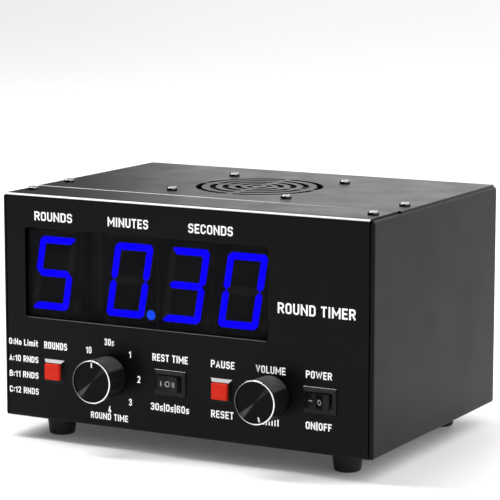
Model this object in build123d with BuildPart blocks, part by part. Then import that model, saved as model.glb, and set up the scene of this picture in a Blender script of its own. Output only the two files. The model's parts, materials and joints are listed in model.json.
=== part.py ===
from build123d import *
import os
from math import asin, atan, cos, degrees, radians, sin, tan

# Gym round timer: sheet-steel case, four-digit display, two dials, two rockers, two push buttons
# and a loudspeaker under the grille in the lid. Millimetres, +Z up, the front panel faces -Y.
# The origin is at foot level, under the middle of the bounding box.

os.makedirs("parts", exist_ok=True)

# ---- driving dimensions -------------------------------------------------------------------------
WIDTH = 248.0
DEPTH = 175.0
BODY_H = 137.0
FOOT_H = 13.0
SHEET = 1.2
KNOB_REACH = 20.4
REAR_REACH = 2.6

FLOOR = FOOT_H
TOP = FLOOR + BODY_H
FRONT = KNOB_REACH - (DEPTH + KNOB_REACH + REAR_REACH) / 2
BACK = FRONT + DEPTH

# the side sheets show as a rounded bead outside the plates they carry, and turn in under the lid
BEAD = 2.0
SEAM = 0.8
PLATE_W = WIDTH - 2 * (BEAD + SEAM)
LID_W = WIDTH - 2.8
RAIL = 14.0
END_RAIL = 8.0
RETURN = 9.0
LAP = 8.0
PLATE_BEND = 2.2

STRIP_DEPTH = 35.4
LID_FRONT = 36.0
LID_DROP = 14.0
LIP_DROP = 6.0
LIP_W = WIDTH - 2 * RAIL - 4

# M3 hardware
M3 = 1.5
M3_CLEAR = 1.65
M3_HEAD_R = 3.3
M3_HEAD_H = 1.9
M3_SUNK_R = 2.9
NUT_AF = 5.5
NUT_H = 2.4

STRIP_SCREW_X = 114.3
STRIP_SCREW_IN = 19.1
LID_SCREW_X = 114.8
LID_SCREW_IN = 59.9
REAR_SCREWS_X = (-85, 0, 85)
REAR_SCREW_DOWN = 7.6
RETURN_SCREW_X = 62.0
RETURN_SCREW_IN = 5.0

FOOT_X = 97.6
FOOT_IN = 22.3
FOOT_TOP_R = 9.35
FOOT_BASE_R = 7.75
FOOT_RECESS_R = 4.2
FOOT_RECESS = 8.0

# display: module centres along X, and the height of their middle above the case's underside
DIGIT_PITCH = 38.0
DIGITS_X = (-89.7, -36.8, -36.8 + DIGIT_PITCH, -36.8 + 2 * DIGIT_PITCH)
DIGIT_NAMES = ("digit_rounds", "digit_minutes", "digit_tens", "digit_units")
DIGITS_SHOW = ("5", "0", "3", "0")
DIGIT_Z = 89.4
MODULE_W = 37.7
MODULE_H = 57.0
MODULE_FACE = 3.8
MODULE_BACK = 15.0
SEGMENT_W = 4.2
SEGMENT_DEEP = 1.5
SEGMENT_GAP = 0.12
HALF_SPAN = 10.9
HALF_RISE = 20.1
SLANT = tan(radians(9.5))
POINT_R = 2.9
POINT_X = 14.4
POINT_Z = -19.5

WINDOW_W = 165.7
WINDOW_H = 54.7
WINDOW_X = -25.35
WINDOW_Z = 89.35
LENS_T = 2.0
BOARD_T = 1.6
DISPLAY_BOARD_W = 175.5
DISPLAY_BOARD_H = 76.0
DISPLAY_POSTS_X = (-109.5, -25.3, 59.0)
DISPLAY_POSTS_Z = (54.3, 124.4)

# controls on the front panel: (x, height above the case's underside)
TIME_KNOB = (-49.2, 31.4)
VOLUME_KNOB = (59.7, 30.8)
REST_SWITCH = (-7.2, 31.4)
POWER_SWITCH = (91.0, 31.4)
ROUNDS_BUTTON = (-88.0, 30.4)
PAUSE_BUTTON = (27.1, 30.4)

KNOB_R = 12.9
KNOB_BASE_R = 12.2
KNOB_FOOT = 1.0
KNOB_BORE = 7.4
RIM_W = 1.0
RIM_DEEP = 1.2
FACE_SINK = 0.7
SHAFT_R = 3.0
VOLUME_POINTER = 165.0

ROCKER_HALF = 6.7
ROCKER_VEE = 9.0
ROCKER_CENTRE = 3.5
ROCKER_H = 9.4
REST_TILT = 0.0
POWER_TILT = 18.0
ROCKER_BEZEL_W = 21.0
ROCKER_BEZEL_H = 15.0
ROCKER_OPENING_W = 16.9
ROCKER_OPENING_H = 9.9
ROCKER_BODY_W = 19.0
ROCKER_BODY_H = 12.8
ROCKER_BODY_DEEP = 18.0
BEZEL_PROUD = 2.0
BEZEL_SLOPE = 1.1

BUTTON_BEZEL = 14.2
BUTTON_BEZEL_PROUD = 1.6
BUTTON_OPENING = (10.9, 10.3)
BUTTON_CAP = (10.4, 9.7)
BUTTON_PROUD = 3.6
BUTTON_BODY = 11.9
BUTTON_BODY_DEEP = 19.0

# loudspeaker: heights count down from the underside of the lid
SPEAKER_IN = 96.0
SPEAKER_HOLE = 39.0
SPEAKER_R = 51.0
SPEAKER_FLANGE = 1.5
SPEAKER_DEEP = 28.0
COIL_R = 10.0
SLOT_RINGS = (6.2, 13.2, 21.0, 28.7, 37.3)
SLOT_W = 3.7
SLOT_BRIDGE = 3.2

JACK_X = 88.0
JACK_Z = 32.0

MAIN_BOARD_X = -30.0
MAIN_BOARD_IN = 112.0
MAIN_BOARD_W = 120.0
MAIN_BOARD_D = 78.0
MAIN_BOARD_RISE = 7.2


def facing(depth):
    """Plane parallel to the front panel, depth behind its face; sketch Y is height above FLOOR."""
    return Plane(origin=(0, FRONT + depth, FLOOR), x_dir=(1, 0, 0), z_dir=(0, -1, 0))


def level(height):
    """Horizontal plane at a height above the case's underside; sketch Y is depth from the front."""
    return Plane(origin=(0, FRONT, FLOOR + height), x_dir=(1, 0, 0), z_dir=(0, 0, 1))


# ---- case ---------------------------------------------------------------------------------------
with BuildPart(mode=Mode.PRIVATE) as rounded_case:
    with BuildSketch(Plane.XY.offset(FLOOR)):
        with Locations((0, (FRONT + BACK) / 2)):
            Rectangle(WIDTH, DEPTH)
    extrude(amount=BODY_H - SHEET)
    fillet(rounded_case.edges(), BEAD - 0.1)

with BuildPart() as base_chassis:
    with BuildSketch(Plane.XZ.offset(-BACK)):
        with Locations((0, FLOOR + BODY_H / 2)):
            Rectangle(WIDTH, BODY_H)
        with Locations((0, FLOOR + SHEET + BODY_H / 2)):
            Rectangle(WIDTH - 2 * SHEET, BODY_H, mode=Mode.SUBTRACT)
        for side in (-1, 1):
            with Locations((side * (WIDTH - RAIL) / 2, TOP - 1.5 * SHEET)):
                Rectangle(RAIL, SHEET)
    extrude(amount=DEPTH)
    # room for the front and rear plates and their bends
    for near in (FRONT + PLATE_BEND / 2, BACK - PLATE_BEND / 2):
        with Locations((0, near, FLOOR + BODY_H / 2)):
            Box(PLATE_W + 2 * SEAM, PLATE_BEND, BODY_H, mode=Mode.SUBTRACT)
    # front and rear rails behind the plates, with the bead outside them
    for inner, outer in ((FRONT + 1.5 * SHEET, FRONT + SHEET / 2), (BACK - 1.5 * SHEET, BACK - SHEET / 2)):
        for side in (-1, 1):
            with Locations((side * (WIDTH - END_RAIL) / 2, inner, FLOOR + BODY_H / 2)):
                Box(END_RAIL, SHEET, BODY_H - 2 * PLATE_BEND)
            with Locations((side * (WIDTH - BEAD) / 2, outer, FLOOR + BODY_H / 2)):
                Box(BEAD, SHEET, BODY_H)
    # the floor stops short of the plates' returns and laps over them
    for near, lap in ((FRONT, FRONT + RETURN), (BACK, BACK - RETURN)):
        with Locations((0, (near + lap) / 2, FLOOR + SHEET / 2)):
            Box(PLATE_W + 2 * SEAM, RETURN + SEAM, SHEET, mode=Mode.SUBTRACT)
        with Locations((0, lap, FLOOR + 1.5 * SHEET)):
            Box(WIDTH - 2 * RAIL, LAP, SHEET)
    # corner reliefs left by the bends
    with Locations((0, FRONT, TOP), (0, FRONT, FLOOR), (0, BACK, TOP), (0, BACK, FLOOR)):
        with GridLocations(WIDTH - BEAD - SHEET, 0, 2, 1):
            Box(BEAD - SHEET, 2 * BEAD, 2 * BEAD, mode=Mode.SUBTRACT)
    add(rounded_case.part, mode=Mode.INTERSECT)
    # holes for the screws of the strip, lid, returns and feet
    with BuildSketch(level(BODY_H - 3 * SHEET)):
        for side in (-1, 1):
            with Locations((side * STRIP_SCREW_X, STRIP_SCREW_IN), (side * LID_SCREW_X, LID_SCREW_IN)):
                Circle(M3)
    extrude(amount=2.5 * SHEET, mode=Mode.SUBTRACT)
    with BuildSketch(level(0)):
        for near in (RETURN_SCREW_IN, DEPTH - RETURN_SCREW_IN):
            with Locations((-RETURN_SCREW_X, near), (RETURN_SCREW_X, near)):
                Circle(M3)
        with Locations((0, DEPTH / 2)):
            with GridLocations(2 * FOOT_X, DEPTH - 2 * FOOT_IN, 2, 2):
                Circle(M3_CLEAR)
    extrude(amount=3 * SHEET, mode=Mode.SUBTRACT)
base_chassis.part.label = "base_chassis"
export_step(base_chassis.part, "parts/base_chassis.step")

with BuildPart() as front_panel:
    with BuildSketch(Plane.YZ.offset(-PLATE_W / 2)) as section:
        with Locations((FRONT + SHEET / 2, FLOOR + BODY_H / 2)):
            Rectangle(SHEET, BODY_H)
        with Locations((FRONT + STRIP_DEPTH / 2, TOP - SHEET / 2)):
            Rectangle(STRIP_DEPTH, SHEET)
        with Locations((FRONT + RETURN / 2, FLOOR + SHEET / 2)):
            Rectangle(RETURN, SHEET)
        fillet(section.vertices().group_by(Axis.X)[1], PLATE_BEND - SHEET)
        fillet(section.vertices().group_by(Axis.X)[0], PLATE_BEND)
    extrude(amount=PLATE_W)
    # stiffening lip under the strip's rear edge
    with Locations((0, FRONT + STRIP_DEPTH - SHEET / 2, TOP - LIP_DROP / 2)):
        Box(LIP_W, SHEET, LIP_DROP)
    with BuildSketch(facing(SHEET)):
        with Locations((WINDOW_X, WINDOW_Z)):
            RectangleRounded(WINDOW_W, WINDOW_H, 1.8)
        with Locations(TIME_KNOB):
            Circle(4.7)
        with Locations(VOLUME_KNOB):
            Circle(3.7)
        with Locations(REST_SWITCH, POWER_SWITCH):
            Rectangle(ROCKER_BODY_W + 0.3, ROCKER_BODY_H + 0.3)
        with Locations(ROUNDS_BUTTON, PAUSE_BUTTON):
            Rectangle(BUTTON_BODY + 0.3, BUTTON_BODY + 0.3)
    extrude(amount=SHEET, mode=Mode.SUBTRACT)
    with BuildSketch(level(BODY_H - SHEET)):
        with Locations((-STRIP_SCREW_X, STRIP_SCREW_IN), (STRIP_SCREW_X, STRIP_SCREW_IN)):
            Circle(M3_CLEAR)
    extrude(amount=SHEET, mode=Mode.SUBTRACT)
    for side in (-1, 1):
        with Locations(Location((side * RETURN_SCREW_X, FRONT + RETURN_SCREW_IN, FLOOR + SHEET / 2), (180, 0, 0))):
            Cone(M3, M3_SUNK_R + 0.05, SHEET, mode=Mode.SUBTRACT)
front_panel.part.label = "front_panel"
export_step(front_panel.part, "parts/front_panel.step")

REAR_H = BODY_H - LID_DROP - 0.5
with BuildPart() as rear_panel:
    with BuildSketch(Plane.YZ.offset(-PLATE_W / 2)) as section:
        with Locations((BACK - SHEET / 2, FLOOR + REAR_H / 2)):
            Rectangle(SHEET, REAR_H)
        with Locations((BACK - RETURN / 2, FLOOR + SHEET / 2)):
            Rectangle(RETURN, SHEET)
        fillet(section.vertices().group_by(Axis.X)[1].sort_by(Axis.Y)[0], PLATE_BEND - SHEET)
        fillet(section.vertices().group_by(Axis.X)[-1].sort_by(Axis.Y)[0], PLATE_BEND)
    extrude(amount=PLATE_W)
    # the lid's rear drop screws onto this lap
    with BuildSketch(facing(DEPTH - SHEET)):
        with Locations((0, BODY_H - LID_DROP)):
            Rectangle(LIP_W, 2 * (LID_DROP - 3))
    extrude(amount=SHEET)
    with BuildSketch(facing(DEPTH)):
        with Locations((JACK_X, JACK_Z)):
            Circle(5.6)
        with Locations(*[(x, BODY_H - REAR_SCREW_DOWN) for x in REAR_SCREWS_X]):
            Circle(M3)
    extrude(amount=2 * SHEET, mode=Mode.SUBTRACT)
    for side in (-1, 1):
        with Locations(Location((side * RETURN_SCREW_X, BACK - RETURN_SCREW_IN, FLOOR + SHEET / 2), (180, 0, 0))):
            Cone(M3, M3_SUNK_R + 0.05, SHEET, mode=Mode.SUBTRACT)
rear_panel.part.label = "rear_panel"
export_step(rear_panel.part, "parts/rear_panel.step")

with BuildPart() as top_cover:
    with BuildSketch(Plane.YZ.offset(-PLATE_W / 2)) as section:
        with Locations(((FRONT + LID_FRONT + BACK) / 2, TOP - SHEET / 2)):
            Rectangle(DEPTH - LID_FRONT, SHEET)
        with Locations((BACK - SHEET / 2, TOP - LID_DROP / 2)):
            Rectangle(SHEET, LID_DROP)
        fillet(section.vertices().group_by(Axis.X)[-1].sort_by(Axis.Y)[-1], PLATE_BEND)
        fillet(section.vertices().group_by(Axis.X)[0].sort_by(Axis.Y)[-1], 0.9)
    extrude(amount=PLATE_W)
    # the flat of the lid reaches out over the side sheets
    with Locations((0, (FRONT + LID_FRONT + BACK) / 2, TOP - SHEET / 2)):
        Box(LID_W, DEPTH - LID_FRONT - 2 * PLATE_BEND, SHEET)
    with Locations((0, FRONT + LID_FRONT + SHEET / 2, TOP - SHEET / 2 - LIP_DROP / 2)):
        Box(LIP_W, SHEET, LIP_DROP - SHEET)
    with BuildSketch(level(BODY_H - SHEET)):
        with Locations((0, SPEAKER_IN)):
            for radius in SLOT_RINGS:
                gap = degrees((SLOT_BRIDGE + SLOT_W) / 2 / radius)
                for quarter in range(4):
                    with BuildLine(mode=Mode.PRIVATE) as arc:
                        CenterArc((0, 0), radius, quarter * 90 + gap, 90 - 2 * gap)
                    SlotArc(arc.wire(), SLOT_W)
            with GridLocations(2 * SPEAKER_HOLE, 2 * SPEAKER_HOLE, 2, 2):
                Circle(M3_CLEAR)
        with Locations((-LID_SCREW_X, LID_SCREW_IN), (LID_SCREW_X, LID_SCREW_IN)):
            Circle(M3_CLEAR)
    extrude(amount=SHEET, mode=Mode.SUBTRACT)
    with BuildSketch(facing(DEPTH)):
        with Locations(*[(x, BODY_H - REAR_SCREW_DOWN) for x in REAR_SCREWS_X]):
            Circle(M3_CLEAR)
    extrude(amount=SHEET, mode=Mode.SUBTRACT)
top_cover.part.label = "top_cover"
export_step(top_cover.part, "parts/top_cover.step")


def pan_screw(length):
    """M3 pan-head screw, bearing face at its local Z 0, head up, with a cross recess."""
    with BuildPart(mode=Mode.PRIVATE) as screw:
        with BuildSketch():
            Circle(M3_HEAD_R)
        extrude(amount=M3_HEAD_H)
        fillet(screw.faces().sort_by(Axis.Z)[-1].edges(), 1.2)
        with BuildSketch(Plane.XY.offset(M3_HEAD_H)):
            Rectangle(3.4, 0.7)
            Rectangle(0.7, 3.4)
        extrude(amount=-1.0, mode=Mode.SUBTRACT)
        with BuildSketch():
            Circle(M3 - 0.02)
        extrude(amount=-length)
    return screw.part


def flat_screw(length):
    """M3 countersunk screw, its flat top at local Z 0, head up, with a cross recess."""
    with BuildPart(mode=Mode.PRIVATE) as screw:
        with BuildSketch():
            Circle(M3_SUNK_R)
        with BuildSketch(Plane.XY.offset(-SHEET)):
            Circle(M3 - 0.02)
        loft()
        with BuildSketch(Plane.XY.offset(-SHEET)):
            Circle(M3 - 0.02)
        extrude(amount=SHEET - length)
        with BuildSketch():
            Rectangle(3.0, 0.7)
            Rectangle(0.7, 3.0)
        extrude(amount=-0.8, mode=Mode.SUBTRACT)
    return screw.part


short_screw = pan_screw(6.0)
sunk_screw = flat_screw(6.0)
long_screw = pan_screw(10.4)

with BuildPart() as case_screws:
    for side in (-1, 1):
        with Locations((side * STRIP_SCREW_X, FRONT + STRIP_SCREW_IN, TOP)):
            add(short_screw)
        with Locations((side * LID_SCREW_X, FRONT + LID_SCREW_IN, TOP)):
            add(short_screw)
        for near in (FRONT + RETURN_SCREW_IN, BACK - RETURN_SCREW_IN):
            with Locations(Location((side * RETURN_SCREW_X, near, FLOOR), (180, 0, 0))):
                add(sunk_screw)
    for x in REAR_SCREWS_X:
        with Locations(Location((x, BACK, TOP - REAR_SCREW_DOWN), (-90, 0, 0))):
            add(short_screw)
case_screws.part.label = "case_screws"
export_step(case_screws.part, "parts/case_screws.step")

FEET = {
    "foot_front_left": (-FOOT_X, FRONT + FOOT_IN),
    "foot_front_right": (FOOT_X, FRONT + FOOT_IN),
    "foot_rear_left": (-FOOT_X, BACK - FOOT_IN),
    "foot_rear_right": (FOOT_X, BACK - FOOT_IN),
}
for foot_name, place in FEET.items():
    with BuildPart() as foot:
        with BuildSketch(Plane((place[0], place[1], 0))):
            Circle(FOOT_BASE_R)
        with BuildSketch(Plane((place[0], place[1], FOOT_H))):
            Circle(FOOT_TOP_R)
        loft()
        fillet(foot.faces().sort_by(Axis.Z)[0].edges(), 1.6)
        with Locations((place[0], place[1], FOOT_RECESS / 2)):
            Cylinder(FOOT_RECESS_R, FOOT_RECESS, mode=Mode.SUBTRACT)
        with Locations((place[0], place[1], FOOT_H / 2)):
            Cylinder(M3_CLEAR, FOOT_H, mode=Mode.SUBTRACT)
    foot.part.label = foot_name
    export_step(foot.part, f"parts/{foot_name}.step")

with BuildPart() as foot_screws:
    for place in FEET.values():
        with Locations(Location((place[0], place[1], FOOT_RECESS), (180, 0, 0))):
            add(long_screw)
foot_screws.part.label = "foot_screws"
export_step(foot_screws.part, "parts/foot_screws.step")

EAR_FOOT = TOP - SHEET - SPEAKER_FLANGE
with BuildPart() as hex_nuts:
    for place in FEET.values():
        with BuildSketch(Plane((place[0], place[1], FLOOR + SHEET))):
            RegularPolygon(NUT_AF / 2, 6, major_radius=False)
            Circle(M3, mode=Mode.SUBTRACT)
        extrude(amount=NUT_H)
    with BuildSketch(Plane((0, FRONT + SPEAKER_IN, EAR_FOOT))):
        with GridLocations(2 * SPEAKER_HOLE, 2 * SPEAKER_HOLE, 2, 2):
            RegularPolygon(NUT_AF / 2, 6, major_radius=False)
            Circle(M3, mode=Mode.SUBTRACT)
    extrude(amount=-NUT_H)
hex_nuts.part.label = "hex_nuts"
export_step(hex_nuts.part, "parts/hex_nuts.step")

# ---- display ------------------------------------------------------------------------------------
with BuildPart() as display_window:
    with BuildSketch(facing(SHEET + LENS_T)):
        with Locations((WINDOW_X, WINDOW_Z)):
            RectangleRounded(WINDOW_W + 8, WINDOW_H + 8, 2)
    extrude(amount=LENS_T)
display_window.part.label = "display_window"
export_step(display_window.part, "parts/display_window.step")

# the seven bars of a digit, as (x, z, upright), counted in half spans and half rises
BARS = {
    "a": (0, 1, False),
    "b": (1, 0.5, True),
    "c": (1, -0.5, True),
    "d": (0, -1, False),
    "e": (-1, -0.5, True),
    "f": (-1, 0.5, True),
    "g": (0, 0, False),
}
LIT_BARS = {"0": "abcdef", "3": "abcdg", "5": "acdfg"}


def bar_points(bar, grow):
    """Corners of one slanted, mitred bar about the digit's centre, grown by a margin."""
    across, up, upright = BARS[bar]
    half = (HALF_RISE / 2 if upright else HALF_SPAN) - SEGMENT_GAP + grow
    thick = SEGMENT_W / 2 + grow
    outer_side = -across if upright else up

    def end_corner(end, side):
        """From the bar's tip to its long side, fuller at the digit's four corners."""
        if outer_side == side and (not upright or end * up > 0):
            return [(end * (half + thick / 2), side * thick / 2), (end * half, side * thick)]
        return [(end * (half - thick), side * thick)]

    outline = [(-half, 0), *end_corner(-1, 1), *reversed(end_corner(1, 1)), (half, 0),
               *end_corner(1, -1), *reversed(end_corner(-1, -1))]
    points = []
    for along, side in outline:
        x, z = (-side, along) if upright else (along, side)
        x += across * HALF_SPAN
        z += up * HALF_RISE
        points.append((x + SLANT * z, z))
    return points


for digit_name, digit_x in zip(DIGIT_NAMES, DIGITS_X):
    with BuildPart() as digit:
        with BuildSketch(facing(MODULE_BACK)):
            with Locations((digit_x, DIGIT_Z)):
                Rectangle(MODULE_W, MODULE_H)
        extrude(amount=MODULE_BACK - MODULE_FACE)
        with BuildSketch(facing(MODULE_FACE)):
            with Locations((digit_x, DIGIT_Z)):
                for bar in BARS:
                    Polygon(*bar_points(bar, 0.04), align=None)
                with Locations((POINT_X, POINT_Z)):
                    Circle(POINT_R + 0.04)
        extrude(amount=-SEGMENT_DEEP, mode=Mode.SUBTRACT)
    digit.part.label = digit_name
    export_step(digit.part, f"parts/{digit_name}.step")


def bars_part(chosen):
    """Every light bar whose digit and letter are chosen, as separate solids."""
    with BuildPart(mode=Mode.PRIVATE) as bars:
        for digit_x, shown in zip(DIGITS_X, DIGITS_SHOW):
            for bar in BARS:
                if chosen(shown, bar):
                    with BuildSketch(facing(MODULE_FACE + SEGMENT_DEEP)):
                        with Locations((digit_x, DIGIT_Z)):
                            Polygon(*bar_points(bar, 0), align=None)
                    extrude(amount=SEGMENT_DEEP)
    return bars.part


with BuildPart() as lit_segments:
    add(bars_part(lambda shown, bar: bar in LIT_BARS[shown]))
lit_segments.part.label = "lit_segments"
export_step(lit_segments.part, "parts/lit_segments.step")

with BuildPart() as unlit_segments:
    add(bars_part(lambda shown, bar: bar not in LIT_BARS[shown]))
    for digit_x in (DIGITS_X[0], DIGITS_X[2], DIGITS_X[3]):
        with BuildSketch(facing(MODULE_FACE + SEGMENT_DEEP)):
            with Locations((digit_x + POINT_X, DIGIT_Z + POINT_Z)):
                Circle(POINT_R)
        extrude(amount=SEGMENT_DEEP)
unlit_segments.part.label = "unlit_segments"
export_step(unlit_segments.part, "parts/unlit_segments.step")

with BuildPart() as decimal_point:
    with BuildSketch(facing(MODULE_FACE + SEGMENT_DEEP)):
        with Locations((DIGITS_X[1] + POINT_X, DIGIT_Z + POINT_Z)):
            Circle(POINT_R)
    extrude(amount=SEGMENT_DEEP)
decimal_point.part.label = "decimal_point"
export_step(decimal_point.part, "parts/decimal_point.step")

DISPLAY_POSTS = [(x, z) for x in DISPLAY_POSTS_X for z in DISPLAY_POSTS_Z]
with BuildPart() as display_board:
    with BuildSketch(facing(MODULE_BACK + BOARD_T)):
        with Locations((WINDOW_X + 0.1, WINDOW_Z)):
            Rectangle(DISPLAY_BOARD_W, DISPLAY_BOARD_H)
        with Locations(*DISPLAY_POSTS):
            Circle(M3_CLEAR, mode=Mode.SUBTRACT)
    extrude(amount=BOARD_T)
display_board.part.label = "display_board"
export_step(display_board.part, "parts/display_board.step")

with BuildPart() as display_posts:
    with BuildSketch(facing(MODULE_BACK)):
        with Locations(*DISPLAY_POSTS):
            RegularPolygon(NUT_AF / 2, 6, major_radius=False)
    extrude(amount=MODULE_BACK - SHEET)
    with BuildSketch(facing(MODULE_BACK)):
        with Locations(*DISPLAY_POSTS):
            Circle(M3)
    extrude(amount=7, mode=Mode.SUBTRACT)
display_posts.part.label = "display_posts"
export_step(display_posts.part, "parts/display_posts.step")

# ---- main board ---------------------------------------------------------------------------------
MAIN_POSTS = GridLocations(MAIN_BOARD_W - 8, MAIN_BOARD_D - 8, 2, 2)
BOARD_TOP = MAIN_BOARD_RISE + BOARD_T


def on_board(height, dx, dy):
    """Horizontal plane at a height above the case's underside, placed from the main board's middle."""
    return Plane((MAIN_BOARD_X + dx, FRONT + MAIN_BOARD_IN + dy, FLOOR + height))


with BuildPart() as main_board:
    with BuildSketch(on_board(MAIN_BOARD_RISE, 0, 0)):
        Rectangle(MAIN_BOARD_W, MAIN_BOARD_D)
        with MAIN_POSTS:
            Circle(M3_CLEAR, mode=Mode.SUBTRACT)
    extrude(amount=BOARD_T)
main_board.part.label = "main_board"
export_step(main_board.part, "parts/main_board.step")

with BuildPart() as main_board_posts:
    with BuildSketch(on_board(SHEET, 0, 0)):
        with MAIN_POSTS:
            RegularPolygon(NUT_AF / 2, 6, major_radius=False)
            Circle(M3, mode=Mode.SUBTRACT)
    extrude(amount=MAIN_BOARD_RISE - SHEET)
main_board_posts.part.label = "main_board_posts"
export_step(main_board_posts.part, "parts/main_board_posts.step")

with BuildPart() as board_screws:
    behind_display = FRONT + MODULE_BACK + BOARD_T
    with Locations(*[Location((x, behind_display, FLOOR + z), (-90, 0, 0)) for x, z in DISPLAY_POSTS]):
        add(short_screw)
    for across in (-1, 1):
        for along in (-1, 1):
            with Locations((MAIN_BOARD_X + across * (MAIN_BOARD_W / 2 - 4),
                            FRONT + MAIN_BOARD_IN + along * (MAIN_BOARD_D / 2 - 4), FLOOR + BOARD_TOP)):
                add(short_screw)
board_screws.part.label = "board_screws"
export_step(board_screws.part, "parts/board_screws.step")

# (dx, dy, width, depth, height) of each package on the main board
PACKAGES = ((-18, 14, 52.0, 14.0, 4.2), (28, 14, 20.0, 7.0, 3.6), (28, -4, 20.0, 7.0, 3.6))
DISPLAY_PACKAGES_X = (-60.0, 8.0)
with BuildPart() as board_chips:
    for dx, dy, wide, deep, tall in PACKAGES:
        with BuildSketch(on_board(BOARD_TOP, dx, dy)):
            Rectangle(wide, deep)
        extrude(amount=tall)
    with BuildSketch(facing(MODULE_BACK + BOARD_T)):
        with Locations(*[(x, WINDOW_Z) for x in DISPLAY_PACKAGES_X]):
            Rectangle(30.0, 7.5)
    extrude(amount=-3.8)
    chamfer(board_chips.edges().filter_by(Axis.X), 0.6)
board_chips.part.label = "board_chips"
export_step(board_chips.part, "parts/board_chips.step")

REGULATOR = (38.0, -22.0)
with BuildPart() as voltage_regulator:
    with BuildSketch(on_board(BOARD_TOP + 4, *REGULATOR)):
        Rectangle(10.0, 4.5)
    extrude(amount=9.0)
    with BuildSketch(on_board(BOARD_TOP, *REGULATOR)):
        with GridLocations(2.54, 0, 3, 1):
            Rectangle(0.9, 0.6)
    extrude(amount=4.2)
voltage_regulator.part.label = "voltage_regulator"
export_step(voltage_regulator.part, "parts/voltage_regulator.step")

FIN_PITCH = 3.2
with BuildPart() as heat_sink:
    with BuildSketch(on_board(BOARD_TOP, REGULATOR[0], REGULATOR[1] - 3.4)):
        Rectangle(22.0, 2.0)
        with Locations((0, -4.5)):
            with GridLocations(FIN_PITCH, 0, 7, 1):
                Rectangle(1.0, 7.4)
    extrude(amount=18.0)
heat_sink.part.label = "heat_sink"
export_step(heat_sink.part, "parts/heat_sink.step")

CAPACITORS = ((-46, -20, 6.4, 21.0), (-28, -20, 5.0, 16.0), (-14, -20, 4.0, 12.5), (2, -20, 4.0, 12.5))
with BuildPart() as capacitors:
    for dx, dy, radius, tall in CAPACITORS:
        with BuildSketch(on_board(BOARD_TOP, dx, dy)):
            Circle(radius)
        extrude(amount=tall)
    fillet(capacitors.edges().filter_by(GeomType.CIRCLE), 0.5)
capacitors.part.label = "capacitors"
export_step(capacitors.part, "parts/capacitors.step")

# headers where the leads plug in: one on the display board, five on the main board
HEADERS = ((-46, 32), (-26, 32), (-6, 32), (14, 32), (34, 32))
DISPLAY_HEADER = (-25.3, 66.0)
with BuildPart() as board_headers:
    for dx, dy in HEADERS:
        with BuildSketch(on_board(BOARD_TOP, dx, dy)):
            Rectangle(12.4, 5.8)
        extrude(amount=7.0)
        with BuildSketch(on_board(BOARD_TOP + 1, dx, dy)):
            Rectangle(10.6, 4.0)
        extrude(amount=6.0, mode=Mode.SUBTRACT)
    with BuildSketch(facing(MODULE_BACK + BOARD_T)):
        with Locations(DISPLAY_HEADER):
            Rectangle(12.4, 5.8)
    extrude(amount=-7.0)
    with BuildSketch(facing(MODULE_BACK + BOARD_T + 1)):
        with Locations(DISPLAY_HEADER):
            Rectangle(10.6, 4.0)
    extrude(amount=-6.0, mode=Mode.SUBTRACT)
board_headers.part.label = "board_headers"
export_step(board_headers.part, "parts/board_headers.step")

# ---- loudspeaker --------------------------------------------------------------------------------
SPEAKER_TOP = TOP - SHEET
SPEAKER_AXIS = Axis((0, FRONT + SPEAKER_IN, 0), (0, 0, 1))
# section plane through the speaker's axis: sketch X is radius, sketch Y is height below the lid
SPEAKER_SECTION = Plane(origin=(0, FRONT + SPEAKER_IN, SPEAKER_TOP), x_dir=(1, 0, 0), z_dir=(0, -1, 0))


def under_lid(drop):
    """Horizontal plane centred on the speaker, a drop below the lid's underside."""
    return Plane((0, FRONT + SPEAKER_IN, SPEAKER_TOP - drop))


with BuildPart() as speaker_basket:
    with BuildSketch(SPEAKER_SECTION):
        with BuildLine():
            Polyline((SPEAKER_R, 0), (SPEAKER_R, -SPEAKER_FLANGE), (47.6, -SPEAKER_FLANGE), (47.6, -6.2),
                     (45.6, -6.2), (32.0, -SPEAKER_DEEP), (12.0, -SPEAKER_DEEP), (12.0, -SPEAKER_DEEP + 1.2),
                     (31.2, -SPEAKER_DEEP + 1.2), (44.4, -6.2), (42.0, -6.2), (42.0, -5.0), (46.4, -5.0),
                     (46.4, 0), close=True)
        make_face()
    revolve(axis=SPEAKER_AXIS)
    with BuildSketch(under_lid(SPEAKER_FLANGE)):
        for corner in (45, 135):
            SlotCenterToCenter(2 * SPEAKER_HOLE * 2 ** 0.5, 11.0, rotation=corner)
        Circle(46.5, mode=Mode.SUBTRACT)
    extrude(amount=SPEAKER_FLANGE)
    with BuildSketch(under_lid(0)):
        with GridLocations(2 * SPEAKER_HOLE, 2 * SPEAKER_HOLE, 2, 2):
            Circle(M3_CLEAR)
    extrude(amount=-SPEAKER_FLANGE, mode=Mode.SUBTRACT)
    # four windows between the basket's legs
    with BuildSketch(under_lid(10)):
        with PolarLocations(38, 4):
            Rectangle(30, 30)
    extrude(amount=-12, mode=Mode.SUBTRACT)
speaker_basket.part.label = "speaker_basket"
export_step(speaker_basket.part, "parts/speaker_basket.step")

TOP_PLATE = 4.0
MAGNET_H = 10.0
BACK_PLATE = 4.0
with BuildPart() as speaker_top_plate:
    with BuildSketch(under_lid(SPEAKER_DEEP)):
        Circle(26)
        Circle(11.6, mode=Mode.SUBTRACT)
    extrude(amount=-TOP_PLATE)
speaker_top_plate.part.label = "speaker_top_plate"
export_step(speaker_top_plate.part, "parts/speaker_top_plate.step")

with BuildPart() as speaker_magnet:
    with BuildSketch(under_lid(SPEAKER_DEEP + TOP_PLATE)):
        Circle(30)
        Circle(14, mode=Mode.SUBTRACT)
    extrude(amount=-MAGNET_H)
    chamfer(speaker_magnet.edges().filter_by(GeomType.CIRCLE).group_by(SortBy.RADIUS)[-1], 0.6)
speaker_magnet.part.label = "speaker_magnet"
export_step(speaker_magnet.part, "parts/speaker_magnet.step")

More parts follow.
